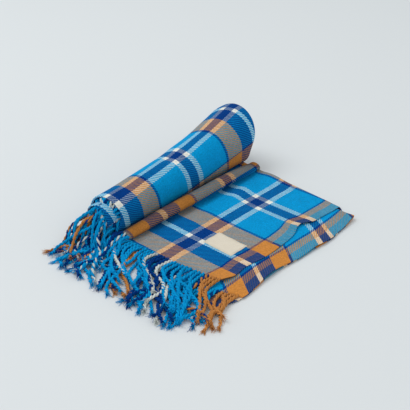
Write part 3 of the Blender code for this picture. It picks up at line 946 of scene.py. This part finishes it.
def cover_height(x, y, layer):
    """Height of the cloth's upper face under a fringe strand of this layer."""
    path = np.clip((WIDEST_X - x) / FLAT_LONG, 0.0, 1.0)
    height = np.zeros(np.shape(x))
    fold = smooth(EDGE_ROWS, EDGE_COLUMNS, "near_fold", path)
    ones = np.ones(np.shape(x), int)
    lower = level_of(ones, path, y) + lift_of(ones, x, y) + CLOTH_THICK / 2
    inside = x < selvedge_x(ones, y)
    height = np.where((y > fold) & inside, lower, height)
    if layer == 3:
        under = smooth(EDGE_ROWS, EDGE_COLUMNS, "fringe_under", path)
        twos = 2 * ones
        upper = level_of(twos, path, y) + lift_of(twos, x, y) + CLOTH_THICK / 2
        height = np.where((y > under) & inside, upper, height)
    return height


class Pile:
    """Strands that lie on the floor, the cloth and one another."""

    def __init__(self):
        self.laid = np.zeros((0, 3))

    def rest(self, line, support, radius):
        """Lifts a line onto what lies under it and keeps its slope soft."""
        z = np.maximum(line[:, 2], support + radius)
        if len(self.laid):
            gaps = line[:, None, :2] - self.laid[None, :, :2]
            far = np.sqrt((gaps**2).sum(-1))
            reach = 2.0 * radius
            over = self.laid[None, :, 2] + 0.8 * np.sqrt(np.maximum(reach**2 - far**2, 0.0))
            near = (far < reach) & (self.laid[None, :, 2] < z[:, None] + 1.2 * radius)
            z = np.maximum(z, np.where(near, over, 0.0).max(axis=1))
        for turn in range(3):
            soft = z.copy()
            soft[1:-1] = 0.25 * z[:-2] + 0.5 * z[1:-1] + 0.25 * z[2:]
            z = np.maximum(soft, support + radius)
        line = line.copy()
        line[1:, 2] = z[1:]
        return line

    def keep(self, line):
        self.laid = np.concatenate((self.laid, line))


def held_back(values, most):
    """Values that come near a limit, softly kept below it."""
    over = np.maximum(values - (most - SLACK), 0.0)
    return values - over + SLACK * np.tanh(over / SLACK)


def strand_length(root_x, rolled, tucked):
    if tucked:
        return TUCKED_LONG
    if rolled:
        return ROLL_STRAND_LONG
    right = float(ease((root_x - 0.10) / 0.09))
    return STRAND_LONG + (RIGHT_STRAND_LONG - STRAND_LONG) * right


def strand_route(root, layer, path, rolled, random):
    """Middle line of one strand before it comes to rest."""
    tucked = 1.12 < path < 1.84 or 2.27 < path < 2.76
    long = strand_length(root[0], rolled, tucked)
    long = long * (1.0 + 0.12 * float(np.clip(random.standard_normal(), -2.0, 2.0)))
    count = int(round(long / STRAND_STEP)) + 1
    share = np.linspace(0.0, 1.0, count)
    sway = random.uniform(-1.0, 1.0, 5)
    wander = sway[0] * share**1.5 + 0.6 * sway[1] * np.sin(2.6 * math.pi * share + 3 * sway[2])
    curl = sway[3] * np.sin(math.pi * (1.7 + sway[4]) * share + 2.0 * sway[2]) * ease(share / 0.3)
    line = np.zeros((count, 3))
    if rolled:
        centre = float(smooth(ROLL_ROWS, ROLL_COLUMNS, "centre_x", np.array(root[1])))
        middle = float(roll_radius(np.array(0.0), np.array(root[1])))
        outward = np.clip((root[0] - centre) / middle, -1.2, 1.2)
        high = np.clip(root[2] / 0.09, 0.0, 1.0)
        spill = -0.9 if tucked else 0.95 * ease(share / 0.6) - 0.35
        spill = spill * (1.0 if outward > 0.0 or tucked else 0.25)
        turn = 0.30 + outward * spill + 0.60 * wander + 1.3 * curl
        lift = random.uniform(-0.5, 0.1)
        dip = (0.60 + 0.80 * high) * ease((share - 0.06) / (0.28 + 0.25 * random.random()))
        dip = dip * (1.0 - 0.35 * ease((share - 0.6) / 0.4)) + 0.60 * curl
        dip = dip + lift * (1.0 - ease(share / 0.3))
    else:
        drift = float(smooth(DRIFT_ROWS, DRIFT_COLUMNS, "drift", np.array(root[0])))
        bunch = (math.floor(root[0] / BUNCH_PITCH) + 0.5) * BUNCH_PITCH
        pull = BUNCH_PULL * (bunch - root[0]) / long
        turn = (drift / 0.11 + pull) * ease(share / 0.5) + 0.45 * wander + 0.85 * curl
        dip = 0.62 * ease(share / 0.3)
    step = long / (count - 1)
    line[:, 0] = root[0] + np.cumsum(np.sin(turn) * np.cos(dip)) * step
    line[:, 1] = root[1] - np.cumsum(np.cos(turn) * np.cos(dip)) * step
    line[:, 2] = root[2] - np.cumsum(np.sin(dip)) * step
    line[:, 0] = held_back(line[:, 0], FARTHEST_X)
    line[:, 1] = -held_back(-line[:, 1], -NEAREST_Y)
    line[0] = root
    return line


def twisted_strand(yarns, line, size, colours, random):
    """Two plies wound round each other, frayed at the tip."""
    far = np.concatenate(([0.0], np.cumsum(np.linalg.norm(np.diff(line, axis=0), axis=1))))
    long = far[-1]
    count = int(long / 0.0030)
    at = np.linspace(0.0, long, count)
    fine = np.stack([np.interp(at, far, line[:, axis]) for axis in range(3)], axis=-1)
    for turn in range(2):
        fine[1:-1] = 0.25 * fine[:-2] + 0.5 * fine[1:-1] + 0.25 * fine[2:]
    along, across, up = frames_along(fine, strand_up(fine))
    start = random.uniform(0.0, 2.0 * math.pi)
    loose = ease((at - (long - FRAY_LONG)) / FRAY_LONG)
    uneven = 1.0 + 0.10 * np.sin(at * 210.0 + start)
    for ply, colour in enumerate(colours):
        turn = start + math.pi * ply + 2.0 * math.pi * at / TWIST_PITCH
        off = PLY_OFFSET * size * (1.0 + 0.7 * loose)
        ring = across * np.cos(turn)[:, None] + up * np.sin(turn)[:, None]
        middle = fine + ring * np.broadcast_to(off, at.shape)[:, None]
        radii = PLY_RADIUS * size * uneven * (1.0 - 0.45 * loose)
        radii[0] *= 0.7
        radii[-1] *= 0.4
        tint = np.array(colour) * (0.90 + 0.2 * random.random())
        shades = np.repeat(tint[None], len(at), axis=0) * (1.0 + 0.35 * loose)[:, None]
        yarns.tube(middle, radii, np.clip(shades, 0.0, 0.95), PLY_SIDES)
    tip, ahead = fine[-4], along[-4]
    for fibre in range(FRAY_FIBRES):
        colour = colours[fibre % len(colours)]
        angle = 2.0 * math.pi * fibre / FRAY_FIBRES + start
        lean = random.uniform(0.05, 0.42)
        side = across[-4] * math.cos(angle) + up[-4] * math.sin(angle)
        reach = np.linspace(0.0, FRAY_LONG * random.uniform(0.7, 1.15), 5)
        curl = reach**2 / FRAY_LONG
        hair = tip + ahead * reach[:, None] + side * (lean * curl + 0.0008)[:, None]
        hair[:, 2] = np.maximum(hair[:, 2], FRAY_RADIUS * 1.2)
        radii = FRAY_RADIUS * size * np.linspace(1.2, 0.5, len(reach))
        tint = np.repeat(np.clip(np.array(colour) * 1.3, 0.0, 0.95)[None], len(reach), axis=0)
        yarns.tube(hair, radii, tint, 4)


def fringe_strands(layer, end_name, start_share, pile, random):
    """Routes of one fringe's strands with their ply colours, laid from the lowest up."""
    strands = []
    for path in root_paths(layer, end_name, start_share):
        end = float(smooth(EDGE_ROWS, EDGE_COLUMNS, end_name, np.array(path)))
        at = np.array([end])
        layers, paths = np.array([layer]), np.array([path])
        root = spot(layers, paths, at + 0.0015, level_of(layers, paths, at))[0]
        warp = float(warp_place(layers, paths, at)[0])
        rolled = path > 0.97
        strands.append((rolled * root[2], path, root, warp, rolled))
    strands.sort(key=lambda strand: strand[0])
    laid = []
    for height, path, root, warp, rolled in strands:
        size = 0.86 if rolled else 1.0
        radius = (PLY_RADIUS + PLY_OFFSET) * size * 0.92
        line = strand_route(root, layer, path, rolled, random)
        support = np.zeros(len(line)) if rolled else cover_height(line[:, 0], line[:, 1], layer)
        line = pile.rest(line, support, radius)
        pile.keep(line)
        warp = warp + sum(by for start, stop, by in STRAND_WARP_ROWS if start < path < stop)
        names = (stripe_at(warp - 0.002), stripe_at(warp + 0.0025))
        laid.append((line, size, [STRAND_COLOURS[name] for name in names]))
    return laid


def fringe_piece(name, strands, material, random):
    yarns = Yarns()
    for line, size, colours in strands:
        twisted_strand(yarns, line, size, colours, random)
    return yarns.piece(name, material)


def label_tape():
    """Cream woven tape with a fine rib."""
    nodes = Nodes("cream_label_tape")
    along, across, spare = nodes.place("label_place")
    rib = (across * (2.0 * math.pi / 0.0009)).math("SINE") * 0.5 + 0.5
    pick = (along * (2.0 * math.pi / 0.0006)).math("SINE") * 0.5 + 0.5
    place = nodes.object_place()
    fuzz = nodes.noise(place, 700.0, 3.0, 0.6)
    wear = nodes.noise(place, 60.0, 3.0, 0.6)
    shade = (rib * 0.10 + 0.90) * (pick * 0.06 + 0.94) * (fuzz * 0.16 + 0.90)
    base = nodes.mixed((0.90, 0.83, 0.69), (0.80, 0.71, 0.56), wear * 0.8)
    nodes.reach("Base Color", nodes.darkened(base, shade))
    nodes.fixed(Roughness=0.8, Specular_IOR_Level=0.25, Sheen_Weight=0.1)
    nodes.bump(rib + pick * 0.5 + fuzz * 0.6, 0.0003, 0.6)
    return nodes.material


def label_top(along, across, height):
    """A point of the label, in its own directions, on the top layer's slope."""
    turn_cos, turn_sin = math.cos(LABEL_TURN), math.sin(LABEL_TURN)
    x = LABEL_CENTRE[0] + along * turn_cos - across * turn_sin
    y = LABEL_CENTRE[1] + along * turn_sin + across * turn_cos
    threes = np.full(np.shape(x), 3)
    paths = np.clip((WIDEST_X - x) / FLAT_LONG, 0.0, 1.0)
    level = level_of(threes, paths, y) + lift_of(threes, x, y) + CLOTH_THICK / 2
    return np.stack((x, y, level + height), axis=-1)


def label_piece(material):
    """A thin tape sewn down along its edges, a little full between them."""
    wide, deep = LABEL_SIZE
    columns, rows = 40, 28
    a = spread(-wide / 2, wide / 2, columns, 0.6)
    b = spread(-deep / 2, deep / 2, rows, 0.6)
    along, across = np.meshgrid(a, b)
    rim = np.minimum(wide / 2 - np.abs(along), deep / 2 - np.abs(across))
    full = 0.0006 * ease(rim / 0.010)
    along = along + 0.0004 * np.sin(across * 260.0) * ease(1.0 - rim / 0.004)
    across = across + 0.0004 * np.sin(along * 190.0 + 1.0) * ease(1.0 - rim / 0.004)
    top = label_top(along, across, 0.0002 + LABEL_THICK * (0.55 + 0.45 * ease(rim / 0.0012)) + full)
    under = label_top(along, across, np.full(np.shape(along), 0.0002))
    points = np.concatenate((top.reshape(-1, 3), under.reshape(-1, 3)))
    index = np.arange(rows * columns).reshape(rows, columns)
    quads = np.stack((index[:-1, :-1], index[:-1, 1:], index[1:, 1:], index[1:, :-1]), axis=-1)
    quads = quads.reshape(-1, 4)
    rim_line = np.concatenate((index[0], index[1:, -1], index[-1, -2::-1], index[-2:0:-1, 0]))
    after = np.roll(rim_line, -1)
    low = rows * columns
    sides = np.stack((rim_line, rim_line + low, after + low, after), axis=-1)
    faces = np.concatenate((quads, quads[:, ::-1] + low, sides))
    thing = mesh_piece("label_tape", points, faces, material)
    flat = np.stack((along, across, np.zeros(np.shape(along))), axis=-1).reshape(-1, 3)
    point_values(thing, "label_place", np.concatenate((flat, flat)))
    return thing


def label_stitches(material, random):
    """Running stitches of cream thread round the label."""
    wide, deep = LABEL_SIZE[0] - 0.0050, LABEL_SIZE[1] - 0.0050
    yarns = Yarns()
    for start, stop in (
        ((-wide / 2, -deep / 2), (wide / 2, -deep / 2)),
        ((wide / 2, -deep / 2), (wide / 2, deep / 2)),
        ((wide / 2, deep / 2), (-wide / 2, deep / 2)),
        ((-wide / 2, deep / 2), (-wide / 2, -deep / 2)),
    ):
        start, stop = np.array(start), np.array(stop)
        long = np.linalg.norm(stop - start)
        count = int(long / 0.0032)
        for stitch in range(count):
            shares = (stitch + np.linspace(0.14, 0.86, 5)) / count
            places = start + (stop - start) * shares[:, None]
            hump = 0.0014 + 0.0003 * np.sin(np.linspace(0.0, math.pi, 5))
            line = label_top(places[:, 0], places[:, 1], hump)
            radii = np.array((0.00012, 0.00026, 0.0003, 0.00026, 0.00012))
            colour = np.array((0.80, 0.73, 0.60)) * random.uniform(0.9, 1.05)
            yarns.tube(line, radii, np.repeat(colour[None], 5, axis=0), 6)
    return yarns.piece("label_stitches", material)


def plain_floor():
    """A wide pale floor."""
    nodes = Nodes("pale_floor")
    nodes.reach("Base Color", (0.700, 0.738, 0.752, 1.0))
    nodes.fixed(Roughness=0.95, Specular_IOR_Level=0.0)
    mesh = bpy.data.meshes.new("floor")
    side = 8.0
    mesh.from_pydata(
        [(-side, -side, 0.0), (side, -side, 0.0), (side, side, 0.0), (-side, side, 0.0)],
        [],
        [(0, 1, 2, 3)],
    )
    mesh.materials.append(nodes.material)
    floor = bpy.data.objects.new("floor", mesh)
    bpy.context.scene.collection.objects.link(floor)


def soft_light(name, place, size, power, colour):
    data = bpy.data.lights.new(name, "AREA")
    data.shape = "DISK"
    data.size = size
    data.energy = power
    data.color = colour
    lamp = bpy.data.objects.new(name, data)
    lamp.location = place
    lamp.rotation_mode = "QUATERNION"
    lamp.rotation_quaternion = (-Vector(place)).to_track_quat("-Z", "Y")
    bpy.context.scene.collection.objects.link(lamp)


def studio():
    """Even pale light, a little stronger from above and the left of the view."""
    world = bpy.data.worlds.new("studio")
    world.use_nodes = True
    background = world.node_tree.nodes["Background"]
    background.inputs["Color"].default_value = (0.98, 0.99, 1.0, 1.0)
    background.inputs["Strength"].default_value = 0.765
    bpy.context.scene.world = world
    soft_light("softbox", (-2.4, -1.6, 4.5), 3.2, 92.0, (1.0, 1.0, 1.0))
    soft_light("fill", (3.4, -2.4, 1.6), 3.0, 10.0, (1.0, 0.95, 0.88))


def view_camera():
    data = bpy.data.cameras.new("view")
    data.lens = CAMERA_LENS
    data.sensor_width = 36.0
    data.clip_start, data.clip_end = 0.05, 60.0
    camera = bpy.data.objects.new("view", data)
    camera.location = CAMERA_PLACE
    camera.rotation_mode = "QUATERNION"
    camera.rotation_quaternion = Vector(CAMERA_FORWARD).to_track_quat("-Z", "Y")
    bpy.context.scene.collection.objects.link(camera)
    bpy.context.scene.camera = camera


random = np.random.default_rng(7)
view_camera()
studio()
plain_floor()
bpy.context.scene.view_settings.view_transform = "Standard"

cloth = cloth_piece(plaid_wool())
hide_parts("rug")

pile = Pile()
under_strands = fringe_strands(2, "fringe_under", 0.5, pile, random)
top_strands = fringe_strands(3, "fringe_top", 0.0, pile, random)
under_fringe = fringe_piece(
    "under_fringe", under_strands, fringe_yarn("under_fringe_wool"), random
)
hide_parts("fringe_under")
top_fringe = fringe_piece("top_fringe", top_strands, fringe_yarn("top_fringe_wool"), random)
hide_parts("fringe_top")

tape = label_piece(label_tape())
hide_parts("label")
stitches = label_stitches(fringe_yarn("label_thread"), random)
